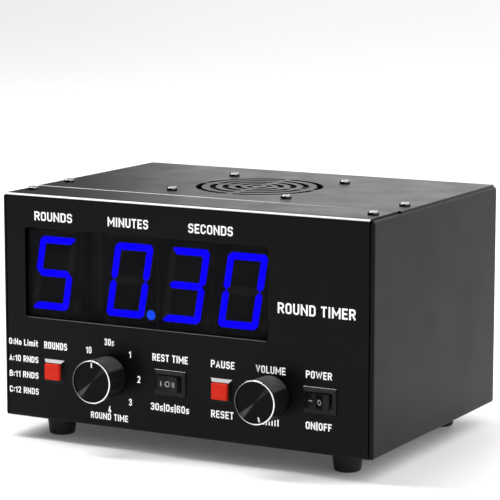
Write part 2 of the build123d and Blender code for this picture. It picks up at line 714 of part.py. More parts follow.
with BuildPart() as speaker_yoke:
    with BuildSketch(under_lid(SPEAKER_DEEP + TOP_PLATE + MAGNET_H)):
        Circle(27)
    extrude(amount=-BACK_PLATE)
    with BuildSketch(under_lid(SPEAKER_DEEP + TOP_PLATE + MAGNET_H)):
        Circle(9.2)
    extrude(amount=MAGNET_H + TOP_PLATE)
speaker_yoke.part.label = "speaker_yoke"
export_step(speaker_yoke.part, "parts/speaker_yoke.step")

CONE_EDGE_R = 38.0
CONE_EDGE = 5.6
CONE_NECK = 18.0
FORMER_T = 0.3
with BuildPart() as voice_coil:
    with BuildSketch(under_lid(CONE_NECK - 0.5)):
        Circle(COIL_R + FORMER_T)
        Circle(COIL_R, mode=Mode.SUBTRACT)
    extrude(amount=-(SPEAKER_DEEP + TOP_PLATE - CONE_NECK + 3))
    with BuildSketch(under_lid(SPEAKER_DEEP - 1)):
        Circle(COIL_R + FORMER_T + 0.5)
        Circle(COIL_R, mode=Mode.SUBTRACT)
    extrude(amount=-(TOP_PLATE + 2))
voice_coil.part.label = "voice_coil"
export_step(voice_coil.part, "parts/voice_coil.step")

with BuildPart() as speaker_cone:
    with BuildSketch(SPEAKER_SECTION):
        with BuildLine():
            Polyline((CONE_EDGE_R, -CONE_EDGE), (COIL_R + FORMER_T + 0.05, -CONE_NECK),
                     (COIL_R + FORMER_T + 0.05, -CONE_NECK - 0.8), (CONE_EDGE_R, -CONE_EDGE - 0.7), close=True)
        make_face()
    revolve(axis=SPEAKER_AXIS)
speaker_cone.part.label = "speaker_cone"
export_step(speaker_cone.part, "parts/speaker_cone.step")

CAP_R = 13.0
CAP_RISE = 4.6
CAP_T = 0.5
CAP_SPHERE = (CAP_R ** 2 + CAP_RISE ** 2) / (2 * CAP_RISE)
CAP_ANGLE = degrees(asin(CAP_R / CAP_SPHERE))
CAP_DROP = CONE_NECK - (CONE_NECK - CONE_EDGE) * (CAP_R - COIL_R) / (CONE_EDGE_R - COIL_R) - 0.15
with BuildPart() as dust_cap:
    with BuildSketch(SPEAKER_SECTION):
        with BuildLine():
            middle = (0, CAP_RISE - CAP_SPHERE - CAP_DROP)
            outer = CenterArc(middle, CAP_SPHERE, 90 - CAP_ANGLE, CAP_ANGLE)
            inner = CenterArc(middle, CAP_SPHERE - CAP_T, 90 - CAP_ANGLE, CAP_ANGLE)
            Line(outer @ 0, inner @ 0)
            Line(outer @ 1, inner @ 1)
        make_face()
    revolve(axis=SPEAKER_AXIS)
dust_cap.part.label = "dust_cap"
export_step(dust_cap.part, "parts/dust_cap.step")

with BuildPart() as cone_surround:
    with BuildSketch(SPEAKER_SECTION):
        with BuildLine():
            Polyline((CONE_EDGE_R - 2.5, -CONE_EDGE + 0.55), (CONE_EDGE_R, -CONE_EDGE + 0.55))
            ThreePointArc((CONE_EDGE_R, -CONE_EDGE + 0.55), (40.6, -2.6), (43.2, -4.45))
            Polyline((43.2, -4.45), (46.3, -4.45), (46.3, -4.95), (42.8, -4.95))
            ThreePointArc((42.8, -4.95), (40.6, -3.1), (CONE_EDGE_R + 0.4, -CONE_EDGE + 0.05))
            Polyline((CONE_EDGE_R + 0.4, -CONE_EDGE + 0.05), (CONE_EDGE_R - 2.5, -CONE_EDGE + 0.05),
                     (CONE_EDGE_R - 2.5, -CONE_EDGE + 0.55))
        make_face()
    revolve(axis=SPEAKER_AXIS)
cone_surround.part.label = "cone_surround"
export_step(cone_surround.part, "parts/cone_surround.step")

SPIDER_DROP = SPEAKER_DEEP - 5.0
with BuildPart() as spider:
    with BuildSketch(under_lid(SPIDER_DROP)):
        Circle(27)
        Circle(COIL_R + FORMER_T + 0.1, mode=Mode.SUBTRACT)
    extrude(amount=0.4)
    with BuildSketch(under_lid(SPIDER_DROP)):
        for ring in (14.5, 18.5, 22.5):
            Circle(ring + 1)
            Circle(ring, mode=Mode.SUBTRACT)
    extrude(amount=1.0)
    with BuildSketch(under_lid(SPEAKER_DEEP - 1.25)):
        Circle(28)
        Circle(25, mode=Mode.SUBTRACT)
    extrude(amount=SPEAKER_DEEP - 1.25 - SPIDER_DROP + 0.4)
spider.part.label = "spider"
export_step(spider.part, "parts/spider.step")

with BuildPart() as speaker_screws:
    for across in (-1, 1):
        for along in (-1, 1):
            with Locations((across * SPEAKER_HOLE, FRONT + SPEAKER_IN + along * SPEAKER_HOLE, TOP)):
                add(short_screw)
speaker_screws.part.label = "speaker_screws"
export_step(speaker_screws.part, "parts/speaker_screws.step")

# ---- dials --------------------------------------------------------------------------------------


def dial(centre, depth):
    """Plane on a dial's axis, depth behind the panel's face, facing the user."""
    return Plane(origin=(centre[0], FRONT + depth, FLOOR + centre[1]), x_dir=(1, 0, 0), z_dir=(0, -1, 0))


# each dial: (name, centre, switch body radius, body depth, bushing radius, pointer angle clockwise from up)
DIALS = (
    ("time", TIME_KNOB, 13.0, 15.0, 4.5, 0.0),
    ("volume", VOLUME_KNOB, 8.5, 9.0, 3.5, VOLUME_POINTER),
)
NUT_OUT = 2.2
BUSHING_OUT = 5.6
SHAFT_OUT = 15.0
BODY_NAMES = {"time": "selector_switch", "volume": "volume_pot"}

for dial_name, centre, body_r, body_deep, bushing_r, pointer in DIALS:
    body_name = BODY_NAMES[dial_name]
    with BuildPart() as body:
        with BuildSketch(dial(centre, SHEET + body_deep)):
            Circle(body_r)
        extrude(amount=body_deep)
        chamfer(body.edges().group_by(Axis.Y)[-1], 0.8)
        # threaded bushing through the panel
        with BuildSketch(dial(centre, SHEET)):
            Circle(bushing_r)
        extrude(amount=SHEET + BUSHING_OUT)
        # solder tags
        with BuildSketch(dial(centre, SHEET + body_deep)):
            with PolarLocations(body_r - 2.5, 8 if dial_name == "time" else 3):
                Rectangle(1.0, 2.2)
        extrude(amount=-5)
        with BuildSketch(dial(centre, -BUSHING_OUT)):
            Circle(SHAFT_R + 0.06)
        extrude(amount=-(BUSHING_OUT + SHEET + body_deep - 3), mode=Mode.SUBTRACT)
    body.part.label = body_name
    export_step(body.part, f"parts/{body_name}.step")

    with BuildPart() as nut:
        with BuildSketch(dial(centre, 0)):
            RegularPolygon(bushing_r + 1.7, 6, major_radius=False)
            Circle(bushing_r + 0.02, mode=Mode.SUBTRACT)
        extrude(amount=NUT_OUT)
    nut.part.label = f"{dial_name}_dial_nut"
    export_step(nut.part, f"parts/{dial_name}_dial_nut.step")

    with BuildPart() as shaft:
        with BuildSketch(dial(centre, SHEET + body_deep - 3.5)):
            Circle(SHAFT_R)
        extrude(amount=SHEET + body_deep - 3.5 + SHAFT_OUT)
    shaft.part.label = f"{dial_name}_shaft"
    export_step(shaft.part, f"parts/{dial_name}_shaft.step")

    with BuildPart() as knob:
        with BuildSketch(dial(centre, -KNOB_FOOT)):
            Circle(KNOB_BASE_R)
        knob_length = KNOB_REACH - KNOB_FOOT - RIM_DEEP
        extrude(amount=knob_length, taper=-degrees(atan((KNOB_R - KNOB_BASE_R) / knob_length)))
        fillet(knob.edges().group_by(Axis.Y)[-1], 0.5)
        # skirt hollow clear of the nut and bushing, then the bore on the shaft
        with BuildSketch(dial(centre, -KNOB_FOOT)):
            Circle(KNOB_BORE)
        extrude(amount=BUSHING_OUT, mode=Mode.SUBTRACT)
        with BuildSketch(dial(centre, -KNOB_FOOT)):
            Circle(SHAFT_R + 0.02)
        extrude(amount=SHAFT_OUT - KNOB_FOOT, mode=Mode.SUBTRACT)
    knob.part.label = f"{dial_name}_knob"
    export_step(knob.part, f"parts/{dial_name}_knob.step")

    with BuildPart() as insert:
        with BuildSketch(dial(centre, -(KNOB_REACH - RIM_DEEP))):
            Circle(KNOB_R)
        extrude(amount=RIM_DEEP)
        with BuildSketch(dial(centre, -KNOB_REACH)):
            Circle(KNOB_R - RIM_W)
        extrude(amount=-FACE_SINK, mode=Mode.SUBTRACT)
        fillet(insert.edges().group_by(Axis.Y)[0], 0.3)
    insert.part.label = f"{dial_name}_knob_insert"
    export_step(insert.part, f"parts/{dial_name}_knob_insert.step")

    with BuildPart() as mark:
        with BuildSketch(dial(centre, -(KNOB_REACH - FACE_SINK))):
            turn = radians(pointer)
            reach = KNOB_R - RIM_W - 1.9
            with Locations(Location((reach * sin(turn), reach * cos(turn), 0), (0, 0, -pointer))):
                Rectangle(0.9, 2.8)
        extrude(amount=0.25)
    mark.part.label = f"{dial_name}_knob_pointer"
    export_step(mark.part, f"parts/{dial_name}_knob_pointer.step")

# ---- rockers ------------------------------------------------------------------------------------
ROCKER_END = ROCKER_CENTRE + ROCKER_HALF * tan(radians(ROCKER_VEE))
ROCKER_SWEEP = (ROCKER_HALF ** 2 + ROCKER_END ** 2) ** 0.5
SWITCHES = (
    ("rest", REST_SWITCH, REST_TILT),
    ("power", POWER_SWITCH, POWER_TILT),
)
for switch_name, centre, tilt in SWITCHES:
    with BuildPart() as housing:
        with BuildSketch(dial(centre, 0)):
            Rectangle(ROCKER_BEZEL_W, ROCKER_BEZEL_H)
        extrude(amount=BEZEL_PROUD - BEZEL_SLOPE)
        with BuildSketch(dial(centre, BEZEL_SLOPE - BEZEL_PROUD)):
            Rectangle(ROCKER_BEZEL_W, ROCKER_BEZEL_H)
        with BuildSketch(dial(centre, -BEZEL_PROUD)):
            Rectangle(ROCKER_OPENING_W + 0.6, ROCKER_OPENING_H + 0.6)
        loft()
        with BuildSketch(dial(centre, ROCKER_BODY_DEEP)):
            Rectangle(ROCKER_BODY_W, ROCKER_BODY_H)
        extrude(amount=ROCKER_BODY_DEEP)
        with BuildSketch(dial(centre, -BEZEL_PROUD)):
            Rectangle(ROCKER_OPENING_W, ROCKER_OPENING_H)
        extrude(amount=-(BEZEL_PROUD + 10), mode=Mode.SUBTRACT)
        with BuildSketch(dial(centre, ROCKER_BODY_DEEP)):
            with GridLocations(7.0, 0, 2, 1):
                Rectangle(0.8, 4.8)
        extrude(amount=-7.5)
    housing.part.label = f"{switch_name}_switch"
    export_step(housing.part, f"parts/{switch_name}_switch.step")

    # seen from above: pivot on the panel's face, shallow vee towards the user, round flanks
    lean = Plane(origin=(centre[0], FRONT, FLOOR + centre[1]), z_dir=(0, 0, 1)).rotated((0, 0, -tilt))
    with BuildPart() as rocker:
        with BuildSketch(lean.offset(-ROCKER_H / 2)):
            with BuildLine():
                Polyline((-ROCKER_HALF, -ROCKER_END), (0, -ROCKER_CENTRE), (ROCKER_HALF, -ROCKER_END))
                ThreePointArc((ROCKER_HALF, -ROCKER_END), (ROCKER_SWEEP * cos(0.3), -ROCKER_SWEEP * sin(0.3)),
                              (ROCKER_SWEEP, 0))
                Polyline((ROCKER_SWEEP, 0), (3.0, 4.5), (-3.0, 4.5), (-ROCKER_SWEEP, 0))
                ThreePointArc((-ROCKER_SWEEP, 0), (-ROCKER_SWEEP * cos(0.3), -ROCKER_SWEEP * sin(0.3)),
                              (-ROCKER_HALF, -ROCKER_END))
            make_face()
        extrude(amount=ROCKER_H)
        fillet(rocker.edges().filter_by(GeomType.LINE).filter_by(Axis.Z).group_by(Axis.Y)[0], 0.5)
    rocker.part.label = f"{switch_name}_rocker"
    export_step(rocker.part, f"parts/{switch_name}_rocker.step")

# ---- push buttons -------------------------------------------------------------------------------
with BuildPart() as button_switches:
    for centre in (ROUNDS_BUTTON, PAUSE_BUTTON):
        with BuildSketch(dial(centre, 0)):
            Rectangle(BUTTON_BEZEL, BUTTON_BEZEL)
        with BuildSketch(dial(centre, -BUTTON_BEZEL_PROUD)):
            Rectangle(BUTTON_OPENING[0] + 0.2, BUTTON_OPENING[1] + 0.2)
        loft()
        with BuildSketch(dial(centre, BUTTON_BODY_DEEP)):
            Rectangle(BUTTON_BODY, BUTTON_BODY)
        extrude(amount=BUTTON_BODY_DEEP)
        with BuildSketch(dial(centre, -BUTTON_BEZEL_PROUD)):
            Rectangle(*BUTTON_OPENING)
        extrude(amount=-(BUTTON_BEZEL_PROUD + 9), mode=Mode.SUBTRACT)
        with BuildSketch(dial(centre, BUTTON_BODY_DEEP)):
            with GridLocations(5.0, 0, 2, 1):
                Rectangle(0.6, 2.4)
        extrude(amount=-5.0)
button_switches.part.label = "button_switches"
export_step(button_switches.part, "parts/button_switches.step")

for button_name, centre in (("rounds_button", ROUNDS_BUTTON), ("pause_button", PAUSE_BUTTON)):
    with BuildPart() as button:
        with BuildSketch(dial(centre, 5.5)):
            Rectangle(*BUTTON_CAP)
        extrude(amount=5.5 + BUTTON_PROUD)
        fillet(button.edges().filter_by(Axis.Y), 0.8)
        fillet(button.edges().group_by(Axis.Y)[0], 0.75)
    button.part.label = button_name
    export_step(button.part, f"parts/{button_name}.step")

# ---- power inlet and leads ----------------------------------------------------------------------
with BuildPart() as power_jack:
    with BuildSketch(dial((JACK_X, JACK_Z), DEPTH)):
        Circle(5.5)
    extrude(amount=14)
    with BuildSketch(dial((JACK_X, JACK_Z), DEPTH)):
        Circle(7.2)
    extrude(amount=-REAR_REACH)
    fillet(power_jack.edges().group_by(Axis.Y)[-1], 0.5)
    with BuildSketch(dial((JACK_X, JACK_Z), DEPTH + REAR_REACH)):
        Circle(2.95)
    extrude(amount=11, mode=Mode.SUBTRACT)
    with BuildSketch(dial((JACK_X, JACK_Z), DEPTH + REAR_REACH - 11)):
        Circle(1.05)
    extrude(amount=-10.4)
    with BuildSketch(dial((JACK_X, JACK_Z), DEPTH - 14)):
        with GridLocations(4.5, 0, 2, 1):
            Rectangle(0.6, 2.4)
    extrude(amount=5)
power_jack.part.label = "power_jack"
export_step(power_jack.part, "parts/power_jack.step")

with BuildPart() as jack_nut:
    with BuildSketch(dial((JACK_X, JACK_Z), DEPTH - SHEET)):
        RegularPolygon(7.0, 6, major_radius=False)
        Circle(5.52, mode=Mode.SUBTRACT)
    extrude(amount=2.5)
jack_nut.part.label = "jack_nut"
export_step(jack_nut.part, "parts/jack_nut.step")
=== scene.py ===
import json
from math import cos, pi, radians, sin, tan

import bpy
from mathutils import Matrix, Vector
from mathutils.geometry import delaunay_2d_cdt


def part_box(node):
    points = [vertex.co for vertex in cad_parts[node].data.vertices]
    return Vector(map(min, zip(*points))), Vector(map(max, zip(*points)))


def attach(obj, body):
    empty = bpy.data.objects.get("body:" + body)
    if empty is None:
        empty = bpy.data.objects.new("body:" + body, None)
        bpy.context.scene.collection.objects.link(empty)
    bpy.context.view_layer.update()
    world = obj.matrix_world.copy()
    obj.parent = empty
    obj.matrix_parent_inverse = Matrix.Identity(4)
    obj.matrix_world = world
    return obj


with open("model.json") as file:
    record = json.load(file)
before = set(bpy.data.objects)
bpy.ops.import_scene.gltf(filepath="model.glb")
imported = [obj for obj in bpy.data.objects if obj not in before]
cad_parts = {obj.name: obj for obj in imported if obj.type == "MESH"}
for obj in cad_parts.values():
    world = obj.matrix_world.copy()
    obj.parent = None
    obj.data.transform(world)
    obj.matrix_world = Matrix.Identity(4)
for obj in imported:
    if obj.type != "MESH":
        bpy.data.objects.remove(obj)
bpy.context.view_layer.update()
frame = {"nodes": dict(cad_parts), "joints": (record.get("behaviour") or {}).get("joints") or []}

MM = 0.001
nodes = frame["nodes"]
pivots = {j["child"]: Vector(j["pos_m"]) for j in frame["joints"] if "pos_m" in j}

# places taken from the frame: the panel's face, and the case's underside, top and middle
panel_low, panel_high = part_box("front_panel")
FACE_Y = panel_low[1]
UNDER_Z = panel_low[2]
CASE_TOP = panel_high[2]
CASE_MIDDLE_Y = (FACE_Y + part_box("rear_panel")[1][1]) / 2

# ---- camera -------------------------------------------------------------------------------------
# both places are measured from the middle of the case's underside
CAMERA_AT = Vector((677.9, -1244.1, 320.4)) * MM
CAMERA_TO = Vector((-1.95, 0.0, 98.65)) * MM
LENS_MM = 168.8
SENSOR_MM = 36.0

under_middle = Vector((0, CASE_MIDDLE_Y, UNDER_Z))
eye = CAMERA_AT + under_middle
aim = CAMERA_TO + under_middle
camera = bpy.data.objects.new("camera", bpy.data.cameras.new("camera"))
camera.data.lens = LENS_MM
camera.data.sensor_width = SENSOR_MM
camera.data.clip_start = 0.05
camera.location = eye
camera.rotation_euler = (aim - eye).to_track_quat("-Z", "Y").to_euler()
bpy.context.scene.collection.objects.link(camera)
bpy.context.scene.camera = camera
bpy.context.scene.view_settings.view_transform = "Standard"


# ---- material helpers ---------------------------------------------------------------------------
def grey(value):
    return (value, value, value)


# painted highlights on the bends and sills of the case's sheets, painted shade on their side-facing cut
# edges
BEND_HIGHLIGHT_GREY = grey(0.85)
SILL_HIGHLIGHT_GREY = grey(0.30)
CUT_EDGE_SHADE_BLACK = grey(0.002)
BEND_HIGHLIGHT_SOFTNESS = 0.28
BEND_HIGHLIGHT_FADE_MM = 110
BEND_HIGHLIGHT_LEAST = 0.12


class Shader:
    """One node material: a Principled shader, fed by textures in the object's own metres."""

    def __init__(self, name, color, rough, metal=0.0, **constants):
        self.material = bpy.data.materials.new(name)
        self.material.use_nodes = True
        self.tree = self.material.node_tree
        self.bsdf = self.tree.nodes["Principled BSDF"]
        coordinates = self.node("ShaderNodeTexCoord")
        self.place = coordinates.outputs["Object"]
        self.normal = coordinates.outputs["Normal"]
        self.set(Base_Color=(*color, 1.0), Roughness=rough, Metallic=metal)
        self.set(**constants)
        self.color = color
        self.rough = rough

    def node(self, kind, **settings):
        made = self.tree.nodes.new(kind)
        for key, value in settings.items():
            setattr(made, key, value)
        return made

    def set(self, **values):
        for key, value in values.items():
            self.bsdf.inputs[key.replace("_", " ")].default_value = value

    def link(self, source, target):
        self.tree.links.new(source, target)

    def math(self, operation, first, second=0.0):
        """One number from two, each a plain number or a socket."""
        node = self.node("ShaderNodeMath", operation=operation)
        for index, value in enumerate((first, second)):
            if isinstance(value, (int, float)):
                node.inputs[index].default_value = value
            else:
                self.link(value, node.inputs[index])
        return node.outputs[0]

    def vector_math(self, operation, socket, constant=None, output="Vector"):
        """A vector socket worked on, with a constant vector where the operation takes one."""
        node = self.node("ShaderNodeVectorMath", operation=operation)
        self.link(socket, node.inputs[0])
        if constant is not None:
            node.inputs[1].default_value = constant
        return node.outputs[output]

    def split(self, vector):
        """The X, Y and Z outputs of a vector socket."""
        node = self.node("ShaderNodeSeparateXYZ")
        self.link(vector, node.inputs[0])
        return node.outputs

    def noise(self, size_mm, detail=3.0, stretch=(1, 1, 1)):
        """Noise whose blotches are about size_mm across, stretched along the object's axes."""
        mapping = self.node("ShaderNodeMapping")
        mapping.inputs["Scale"].default_value = [1 / s for s in stretch]
        self.link(self.place, mapping.inputs["Vector"])
        noise = self.node("ShaderNodeTexNoise")
        noise.inputs["Scale"].default_value = 1 / (size_mm * MM)
        noise.inputs["Detail"].default_value = detail
        self.link(mapping.outputs[0], noise.inputs["Vector"])
        return noise.outputs["Fac"]

    def wave(self, direction, pitch_mm):
        """Soft stripes across one of the object's axes."""
        wave = self.node("ShaderNodeTexWave", bands_direction=direction)
        wave.inputs["Scale"].default_value = 0.3 / (pitch_mm * MM)
        self.link(self.place, wave.inputs["Vector"])
        return wave.outputs["Fac"]

    def ramp(self, factor, low, high, start=0.3, end=0.7):
        """Remap a factor onto low..high; colours as triples, plain numbers as greys."""
        ramp = self.node("ShaderNodeValToRGB")
        for stop, place, value in ((0, start, low), (1, end, high)):
            rgb = value if isinstance(value, tuple) else grey(value)
            ramp.color_ramp.elements[stop].position = place
            ramp.color_ramp.elements[stop].color = (*rgb, 1.0)
        self.link(factor, ramp.inputs["Fac"])
        return ramp.outputs["Color"]

    def vary_color(self, size_mm, spread):
        low = tuple(c * (1 - spread) for c in self.color)
        high = tuple(min(1.0, c * (1 + spread)) for c in self.color)
        self.link(self.ramp(self.noise(size_mm, 4.0), low, high), self.bsdf.inputs["Base Color"])

    def vary_rough(self, size_mm, spread, stretch=(1, 1, 1)):
        low, high = max(0.02, self.rough - spread), min(1.0, self.rough + spread)
        self.link(self.ramp(self.noise(size_mm, 4.0, stretch), low, high), self.bsdf.inputs["Roughness"])

    def bump(self, height, depth_mm, strength):
        """Add a height field to the ones already there."""
        bump = self.node("ShaderNodeBump")
        bump.inputs["Distance"].default_value = depth_mm * MM
        bump.inputs["Strength"].default_value = strength
        self.link(height, bump.inputs["Height"])
        before = self.bsdf.inputs["Normal"].links
        if before:
            self.link(before[0].from_socket, bump.inputs["Normal"])
        self.link(bump.outputs[0], self.bsdf.inputs["Normal"])

    def polar(self, centre, toward):
        """Distance in metres from an axis along Y, and the cosine of the angle from toward in XZ."""
        offset = self.vector_math("SUBTRACT", self.place, centre)
        flat = self.vector_math("MULTIPLY", offset, (1, 0, 1))
        unit = self.vector_math("NORMALIZE", flat)
        lean = self.vector_math("DOT_PRODUCT", unit, (toward[0], 0, toward[1]), "Value")
        return self.vector_math("LENGTH", flat, output="Value"), lean

    def mix_in(self, mask, color):
        """Blend the base colour so far toward color where the mask is 1."""
        mix = self.node("ShaderNodeMix", data_type="RGBA")
        mix.inputs["B"].default_value = (*color, 1)
        self.link(mask, mix.inputs["Factor"])
        self.link(self.bsdf.inputs["Base Color"].links[0].from_socket, mix.inputs["A"])
        self.link(mix.outputs["Result"], self.bsdf.inputs["Base Color"])

    def paint_edge_light_and_shade(self, from_slope, fade_mm, front=None):
        """Painted highlights: coat made pale on the bends that face forward and up, and up to front along
        Y.

        The painted highlight is full up to fade_mm along X and dies away beyond it. Up-facing sills below
        the lid get a painted highlight. Side cut edges are black metal, a painted shade for the seams.
        """
        normal = self.split(self.normal)
        spot = self.split(self.place)
        forward = self.math("MULTIPLY", normal["Y"], -2.0)
        slope = self.math("MULTIPLY", forward, normal["Z"])
        bend = self.ramp(slope, 0.0, 1.0, from_slope, min(1.0, from_slope + BEND_HIGHLIGHT_SOFTNESS))
        if front is not None:
            bend = self.math("MAXIMUM", bend, self.math("LESS_THAN", spot["Y"], front))
        fade = self.node("ShaderNodeMapRange")
        fade.inputs["From Min"].default_value = fade_mm * MM
        fade.inputs["From Max"].default_value = (fade_mm + BEND_HIGHLIGHT_FADE_MM) * MM
        fade.inputs["To Min"].default_value = 1.0
        fade.inputs["To Max"].default_value = BEND_HIGHLIGHT_LEAST
        self.link(spot["X"], fade.inputs["Value"])
        bend = self.math("MULTIPLY", bend, fade.outputs["Result"])
        # painted shade: side-facing cut faces made black and metallic, standing in for the shadow in the
        # seams
        cut = self.ramp(self.math("ABSOLUTE", normal["X"]), 0.0, 1.0, 0.85, 0.95)
        # painted highlight on the up-facing sills below the lid, such as the window's lower edge
        up = self.math("GREATER_THAN", normal["Z"], 0.9)
        below_lid = self.math("LESS_THAN", spot["Z"], CASE_TOP - 10 * MM)
        self.mix_in(self.math("MULTIPLY", up, below_lid), SILL_HIGHLIGHT_GREY)
        self.mix_in(bend, BEND_HIGHLIGHT_GREY)
        self.mix_in(cut, CUT_EDGE_SHADE_BLACK)
        self.link(cut, self.bsdf.inputs["Metallic"])

    def paint_slope_highlights(self, flat, slope):
        """Painted highlights: greys for the faces that look straight up and for those that slope forward
        and up.
        """
        normal = self.split(self.normal)
        rising = self.math("GREATER_THAN", normal["Z"], 0.3)
        level = self.math("GREATER_THAN", normal["Z"], 0.92)
        ahead = self.math("LESS_THAN", normal["Y"], -0.25)
        self.mix_in(self.math("MULTIPLY", rising, ahead), grey(slope))
        self.mix_in(level, grey(flat))

    def paint_highlight_toward(self, direction, nearness, value):
        """A painted highlight: a grey for the faces within an angle, given as its cosine, of a direction.
        """
        lean = self.vector_math("DOT_PRODUCT", self.normal, direction, "Value")
        self.mix_in(self.ramp(lean, 0.0, 1.0, nearness, nearness + 0.05), grey(value))


def use(shader, *names):
    """Give CAD nodes this material."""
    for name in names:
        materials = nodes[name].data.materials
        if not materials:
            materials.append(shader.material)
        for index in range(len(materials)):
            materials[index] = shader.material


# ---- materials of the CAD nodes -----------------------------------------------------------------
CASE_BLACK = (0.0025, 0.0025, 0.0026)
CASE_ROUGH = 0.36
SWITCH_BLACK = grey(0.005)

# the spun faces of the knobs, with painted highlight fans
KNOB_RIM = 0.65 * MM
KNOB_RING_PITCH = 0.22 * MM
PAINTED_FAN_TOWARD = (0.7071, 0.7071)
PAINTED_FAN_EDGE = 0.982


def powder_coat(name, color, rough, edges=None):
    """Satin black powder coat: fine orange peel, a little finer grain, faint uneven sheen; given edges,
    painted highlights on its bends and sills and painted shade on its cut edges.
    """
    coat = Shader(name, color, rough, Specular_IOR_Level=0.10)
    coat.vary_color(9.0, 0.12)
    if edges:
        coat.paint_edge_light_and_shade(*edges)
    coat.vary_rough(22.0, 0.035)
    coat.bump(coat.noise(0.9, 2.0), 0.010, 0.35)
    coat.bump(coat.noise(0.22, 2.0), 0.004, 0.35)
    return coat


def zinc(name, bright=0.62):
    """Zinc plate, clear or blackened, with fine scratches."""
    plate = Shader(name, (bright, bright, bright * 0.98), 0.24, 1.0)
    plate.vary_color(1.2, 0.10)
    plate.vary_rough(0.5, 0.08)
    plate.bump(plate.noise(0.12, 2.0, (6, 1, 1)), 0.004, 0.4)
    return plate


def rubber(name):
    """Matte moulded rubber."""
    black = Shader(name, (0.006, 0.006, 0.006), 0.62, Specular_IOR_Level=0.3)
    black.vary_color(3.0, 0.25)
    black.vary_rough(2.0, 0.08)
    black.bump(black.noise(0.35, 3.0), 0.03, 0.4)
    return black


def moulded(name, color, rough, grain_mm=0.25, specular=0.4, grain_depth=0.006):
    """Moulded plastic with a fine spark grain."""
    plastic = Shader(name, color, rough, Specular_IOR_Level=specular)
    plastic.vary_color(4.0, 0.08)
    plastic.vary_rough(3.0, 0.05)
    plastic.bump(plastic.noise(grain_mm, 2.0), grain_depth, 0.4)
    return plastic


def glowing(name, color, glow, strength):
    """Diffused light bar lit from behind: slightly uneven glow."""
    bar = Shader(name, color, 0.35, Specular_IOR_Level=0.0)
    bar.set(Emission_Strength=strength, Emission_Color=(*glow, 1.0))
    dim = tuple(c * 0.86 for c in glow)
    bar.link(bar.ramp(bar.noise(3.0, 2.0), dim, glow), bar.bsdf.inputs["Emission Color"])
    bar.bump(bar.noise(0.2, 2.0), 0.004, 0.3)
    return bar


def knob_insert(name, node):
    """Spun dark face with fine turning rings and two painted highlight fans; a metal rim with a painted
    highlight, brighter at the right.
    """
    low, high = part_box(node)
    centre = tuple((a + b) / 2 for a, b in zip(low, high))
    outer = (high[0] - low[0]) / 2
    metal = Shader(name, (0.002, 0.002, 0.002), 0.32, Specular_IOR_Level=0.08)
    radius, lean = metal.polar(centre, PAINTED_FAN_TOWARD)
    # painted highlights: two light fans painted into the face's colour, opposite each other
    far_painted_fan = metal.ramp(lean, 0.0, 0.020, PAINTED_FAN_EDGE, 1.0)
    near_painted_fan = metal.ramp(metal.math("MULTIPLY", lean, -1.0), 0.0, 0.085, PAINTED_FAN_EDGE, 1.0)
    fans = metal.math("ADD", far_painted_fan, near_painted_fan)
    uneven = metal.ramp(metal.noise(1.2), 0.7, 1.2)
    face = metal.math("ADD", metal.math("MULTIPLY", fans, uneven), 0.002)
    rim = metal.math("GREATER_THAN", radius, outer - KNOB_RIM)
    # painted highlight on the rim, brighter toward the right
    _, right = metal.polar(centre, (1.0, 0.0))
    rim_highlight = metal.math("ADD", metal.math("MULTIPLY", right, 0.5), 0.5)
    mix = metal.node("ShaderNodeMix", data_type="RGBA")
    metal.link(metal.ramp(rim_highlight, 0.10, 0.95, 0.08, 0.55), mix.inputs["B"])
    metal.link(rim, mix.inputs["Factor"])
    metal.link(face, mix.inputs["A"])
    metal.link(mix.outputs["Result"], metal.bsdf.inputs["Base Color"])
    metal.link(rim, metal.bsdf.inputs["Metallic"])
    metal.link(metal.ramp(rim, 0.36, 0.14, 0.0, 1.0), metal.bsdf.inputs["Roughness"])
    rings = metal.math("SINE", metal.math("MULTIPLY", radius, 2 * pi / KNOB_RING_PITCH))
    metal.bump(rings, 0.003, 0.35)
    return metal


def circuit_board(name):
    """Green solder mask over copper tracks and woven glass."""
    board = Shader(name, (0.01, 0.12, 0.045), 0.3)
    tracks = board.node("ShaderNodeTexBrick")
    tracks.inputs["Scale"].default_value = 90.0
    tracks.inputs["Color1"].default_value = (0.008, 0.10, 0.035, 1)
    tracks.inputs["Color2"].default_value = (0.012, 0.13, 0.05, 1)
    tracks.inputs["Mortar"].default_value = (0.03, 0.24, 0.10, 1)
    tracks.inputs["Mortar Size"].default_value = 0.012
    board.link(board.place, tracks.inputs["Vector"])
    board.link(tracks.outputs["Color"], board.bsdf.inputs["Base Color"])
    board.bump(board.noise(0.6, 2.0), 0.01, 0.3)
    return board


def cloth(name, color, thread_mm):
    """Woven cloth, doped stiff."""
    weave = Shader(name, color, 0.8, Sheen_Weight=0.2)
    threads = [weave.wave(direction, thread_mm) for direction in ("X", "Y")]
    weave.vary_color(2.0, 0.15)
    weave.bump(weave.math("MAXIMUM", *threads), 0.06, 0.6)
    return weave


def smoked_lens(name):
    """Smoked acrylic window."""
    lens = Shader(name, (0.58, 0.58, 0.59), 0.0, Transmission_Weight=1.0, IOR=1.06)
    lens.vary_color(40.0, 0.02)
    return lens


use(powder_coat("case_powder_coat", CASE_BLACK, CASE_ROUGH), "base_chassis", "rear_panel")
# painted highlight along the front panel's top bend and on its sills, painted shade on its cut side faces
panel_coat = powder_coat("panel_powder_coat", CASE_BLACK, CASE_ROUGH, edges=(0.66, 500))
use(panel_coat, "front_panel")
# painted highlight along the lid's front edge, fading along X; painted shade on its cut side faces
LID_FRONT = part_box("top_cover")[0][1] + 0.7 * MM
lid_coat = powder_coat("lid_powder_coat", CASE_BLACK, CASE_ROUGH, edges=(0.08, 0, LID_FRONT))
use(lid_coat, "top_cover")
screw_metal = zinc("screw_zinc", 0.035)
